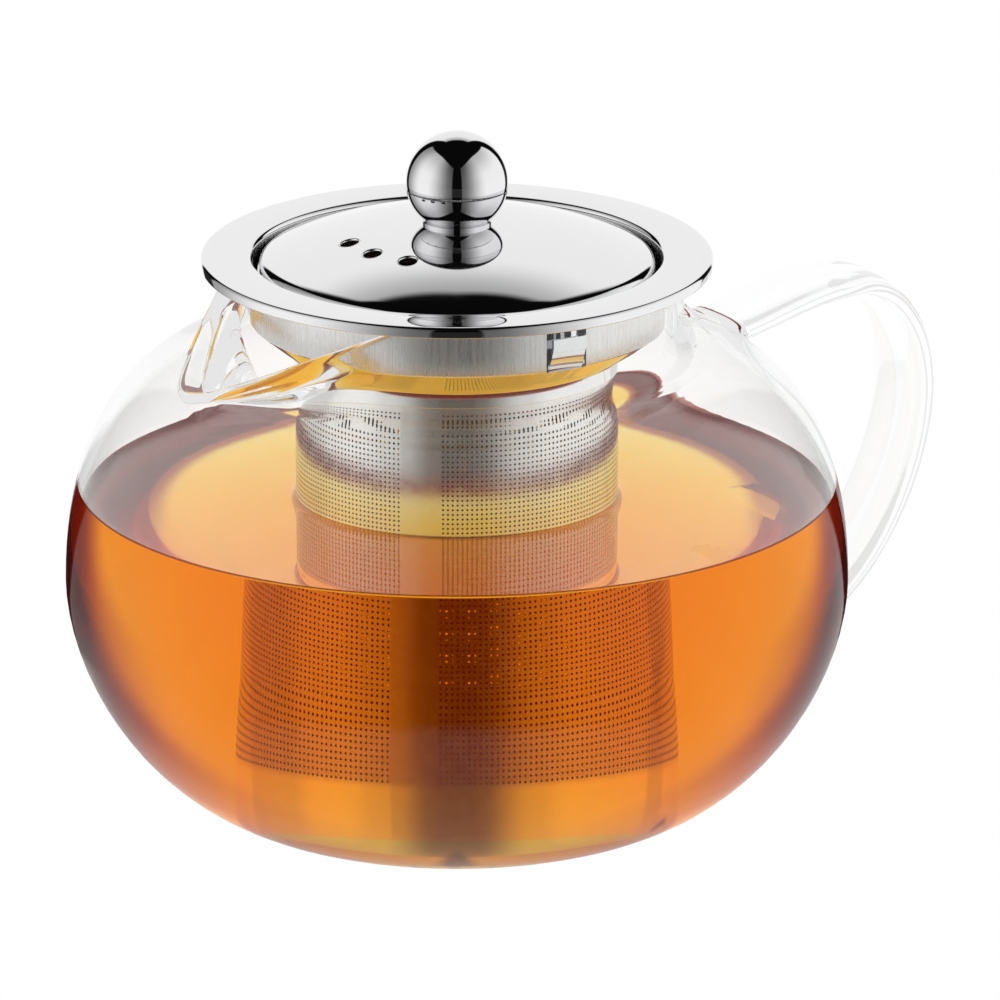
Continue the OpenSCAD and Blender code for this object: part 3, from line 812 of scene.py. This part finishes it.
def make_sheet_length(number):
    """One length: a hole in its square of sheet, repeated in columns and rows, with blank margins."""
    around = 2 * math.pi * tube_r - seam_w
    pitch_x = around / (lengths * columns)
    pitch_z = (holes_high - holes_low) / rows
    bpy.ops.object.select_all(action="DESELECT")
    bpy.ops.mesh.primitive_circle_add(vertices=6, radius=hole_r * mm, rotation=(math.pi / 2, 0, math.pi / 2))
    piece = bpy.context.object
    piece.name = f"filter_sheet_{number + 1}"
    bpy.ops.object.transform_apply(location=True, rotation=True, scale=True)
    mesh = piece.data
    # Turn the ring of six so that two of its corners point sideways
    for vertex in mesh.vertices:
        angle = 60 * vertex.index
        vertex.co = Vector((hole_r * cos(angle), 0, hole_r * sin(angle))) * mm
    bpy.ops.object.mode_set(mode="EDIT")
    bpy.ops.mesh.select_all(action="SELECT")
    bpy.ops.mesh.extrude_edges_move()
    bpy.ops.object.mode_set(mode="OBJECT")
    # Each corner of the ring goes out to a corner or the middle of a side of the square
    square = {0: (1, 0), 60: (1, 1), 120: (-1, 1), 180: (-1, 0), 240: (-1, -1), 300: (1, -1)}
    for vertex in mesh.vertices:
        if vertex.index >= 6:
            angle = round(math.degrees(math.atan2(vertex.co.z, vertex.co.x))) % 360
            side, up = square[angle]
            vertex.co = Vector((side * pitch_x / 2, 0, up * pitch_z / 2)) * mm
    for axis, count, pitch in ((0, columns, pitch_x), (2, rows, pitch_z)):
        modifier = piece.modifiers.new("repeat", "ARRAY")
        modifier.count = count
        modifier.use_relative_offset = False
        modifier.use_constant_offset = True
        modifier.constant_offset_displace = [pitch * mm if i == axis else 0 for i in range(3)]
        modifier.use_merge_vertices = True
        modifier.merge_threshold = 0.00001
        bpy.ops.object.modifier_apply(modifier="repeat")
    half_x, half_z = pitch_x / 2 * mm, pitch_z / 2 * mm
    top = (rows - 1) * pitch_z * mm + half_z

    def extend(picked, shift):
        """Extrudes the border that picked finds, to make a blank margin."""
        bpy.ops.object.mode_set(mode="EDIT")
        bpy.ops.mesh.select_mode(type="EDGE")
        bpy.ops.mesh.select_all(action="DESELECT")
        bpy.ops.object.mode_set(mode="OBJECT")
        for edge in mesh.edges:
            edge.select = all(picked(mesh.vertices[i].co) for i in edge.vertices)
        bpy.ops.object.mode_set(mode="EDIT")
        bpy.ops.mesh.extrude_edges_move(TRANSFORM_OT_translate={"value": shift})
        bpy.ops.object.mode_set(mode="OBJECT")

    if number == 0:
        for _ in range(seam_strips):
            left = min(vertex.co.x for vertex in mesh.vertices)
            extend(lambda co: abs(co.x - left) < 1e-6, (-seam_w / seam_strips * mm, 0, 0))
    extend(lambda co: abs(co.z - top) < 1e-6, (0, 0, (tube_high - holes_high) * mm))
    extend(lambda co: abs(co.z + half_z) < 1e-6, (0, 0, (tube_low - holes_low) * mm))
    # Rolled to the tube's radius
    start = math.radians(seam_angle) + (seam_w / 2 + number * columns * pitch_x) / tube_r
    for vertex in mesh.vertices:
        angle = start + (vertex.co.x + half_x) / mm / tube_r
        height = vertex.co.z + half_z + holes_low * mm
        vertex.co = Vector((tube_r * math.cos(angle) * mm, tube_r * math.sin(angle) * mm, height))
    face_outwards(piece)
    outward = sum(1 if face.normal.dot(Vector((face.center.x, face.center.y, 0))) > 0 else -1
                  for face in mesh.polygons[:50])
    if outward < 0:
        mesh.flip_normals()
    modifier = piece.modifiers.new("thickness", "SOLIDIFY")
    modifier.thickness = etched_t * mm
    modifier.offset = -1
    bpy.ops.object.modifier_apply(modifier="thickness")
    smooth(piece, 30)
    mesh.materials.append(etched)
    mesh.materials.append(etched_painted_shade)
    # Faces that look into the tube take the copy with painted shade
    for face in mesh.polygons:
        outwards = face.normal.x * face.center.x + face.normal.y * face.center.y
        face.material_index = 0 if outwards > 0.5 * tube_r * mm else 1
    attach(piece, "infuser")
    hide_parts("filter_sheet")


for number in range(lengths):
    make_sheet_length(number)


# ---- Lid ----
# A spun dome of mirror-polished steel with a rounded edge and a skirt that stands on the cone. It
# is left dull inside, with a dark colour there that is painted shade. The three steam vents have turned-in
# rims.
lid_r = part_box("lid_cover")[1].y / mm
lid_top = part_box("lid_cover")[1].z / mm
lid_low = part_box("lid_cover")[0].z / mm
lid_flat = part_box("knob_neck_ring")[1].y / mm + 1
lid_round = 3.0
edge_lean = 65
edge_mid_r = lid_r - lid_round
edge_mid_z = flange_z - 2.9
dome_run = edge_mid_r + lid_round * cos(edge_lean) - lid_flat
dome_drop = lid_top - edge_mid_z - lid_round * sin(edge_lean)
lid_turn = 191.8
vent_r = 22.8
vent_step = 22
vent_numbers = (-1, 0, 1)
vent_hole_r = 1.8
vent_rim = 0.4


def dome_point(k):
    """A point of the dome, from the flat under the knob at 0 to the rounded edge at 1."""
    return lid_flat + dome_run * k, lid_top - dome_drop * (0.1 * k + 0.9 * k * k)


def dull_steel_painted_shade():
    """Stainless steel as it comes from the press, rough, with a dark colour that is painted shade."""
    material, tree = empty_material("dull_steel_painted_shade")
    steel = node(tree, "ShaderNodeBsdfPrincipled", Base_Color=(0.2, 0.2, 0.2, 1), Metallic=1.0,
                 Roughness=0.45)
    node(tree, "ShaderNodeOutputMaterial", Surface=steel.outputs[0])
    return material


def make_vent_rim(number):
    """The edge of one vent, turned in and down, in line with the slope of the dome."""
    rim_depth = 1.0
    outer_r = vent_hole_r + vent_rim
    outline = arc(outer_r, -vent_rim, vent_rim, 90, 180)
    outline += [(vent_hole_r, -rim_depth), (vent_hole_r + 0.3, -rim_depth), (outer_r, -vent_rim)]
    rim = turned("vent_rim", outline, 48)
    along = (vent_r - lid_flat) / dome_run
    slope = math.atan(dome_drop / dome_run * (0.1 + 1.8 * along))
    pick_only(rim)
    rim.rotation_euler.y = slope
    rim.location = (vent_r * mm, 0, dome_point(along)[1] * mm)
    bpy.ops.object.transform_apply(location=True, rotation=True, scale=False)
    turn_about_axis(rim, lid_turn + vent_step * number)
    return rim


def make_lid():
    """The section runs from the middle over the dome to the skirt, and back inside."""
    above = [dome_point(k / 24) for k in range(25)]
    below = [(r, z - sheet) for r, z in reversed(above)]
    outline = [(0, lid_top)] + above + arc(edge_mid_r, edge_mid_z, lid_round, 60, 0, 12) + [(lid_r, lid_low)]
    outline += [(lid_r - sheet, lid_low)] + arc(edge_mid_r, edge_mid_z, lid_round - sheet, 0, 52, 9)
    outline += below + [(0, lid_top - sheet)]
    lid = turned("lid_dome", outline, 192)
    for number in vent_numbers:
        bpy.ops.object.select_all(action="DESELECT")
        angle = lid_turn + vent_step * number
        middle = Vector((vent_r * cos(angle), vent_r * sin(angle), lid_top)) * mm
        bpy.ops.mesh.primitive_cylinder_add(vertices=48, radius=(vent_hole_r + vent_rim) * mm, depth=14 * mm,
                                            location=middle)
        combine(lid, bpy.context.object, "DIFFERENCE")
    smooth(lid, 35)
    lid.data.materials.clear()
    lid.data.materials.append(polished)
    lid.data.materials.append(dull_steel_painted_shade())
    # Faces under the dome take the dull steel, whose dark colour is painted shade
    for face in lid.data.polygons:
        r, z = math.hypot(face.center.x, face.center.y) / mm, face.center.z / mm
        outwards = face.normal.dot(Vector((face.center.x, face.center.y, 0)))
        inside = face.normal.z < -0.5 if r < edge_mid_r else outwards < 0 and z < edge_mid_z + lid_round
        face.material_index = 1 if inside else 0
    for number in vent_numbers:
        rim = make_vent_rim(number)
        smooth(rim, 40)
        rim.data.materials.append(polished)
        pick_only(lid)
        rim.select_set(True)
        bpy.ops.object.join()
    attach(lid, "lid")
    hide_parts("lid_cover")


make_lid()


# ---- Knob ----
# A hollow ball of two pressed halves with a fine seam between them, on a small ring. A boss inside
# the ball takes the screw from below.
ball_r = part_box("knob_upper_shell")[1].y / mm
ball_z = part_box("knob_upper_shell")[1].z / mm - ball_r
seam_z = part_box("knob_upper_shell")[0].z / mm
foot_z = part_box("knob_lower_shell")[0].z / mm


seam_gap = 0.08
seam_angle_up = math.degrees(math.asin((seam_z - ball_z + seam_gap / 2) / ball_r))
seam_angle_down = math.degrees(math.asin((seam_z - ball_z - seam_gap / 2) / ball_r))
foot_angle = math.degrees(math.asin((foot_z - ball_z) / ball_r))


def make_shell(name, node_name, low, high):
    """Half of the ball, between two angles above the horizontal; the lower half has a floor."""
    outline = arc(0, ball_z, ball_r, low, high, 24)
    if low == foot_angle:
        outline = [(0, foot_z)] + outline + arc(0, ball_z, ball_r - sheet, high, low + 2, 24)
        outline += [(0, foot_z + sheet)]
    else:
        outline += arc(0, ball_z, ball_r - sheet, high, low, 24)
    shell = turned(name, [(max(r, 0), z) for r, z in outline], 128)
    smooth(shell, 35)
    shell.data.materials.append(polished)
    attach(shell, "lid")
    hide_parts(node_name)


make_shell("knob_top_half", "knob_upper_shell", seam_angle_up, 90)
make_shell("knob_bottom_half", "knob_lower_shell", foot_angle, seam_angle_down)

# These pieces keep the shapes that they have in the frame
plain_pieces = {"knob_neck_ring": polished, "filter_base": polished, "knob_boss": brushed,
                "knob_screw": brushed, "knob_washer": brushed}
for name, steel in plain_pieces.items():
    for slot in frame["nodes"][name].material_slots:
        slot.material = steel
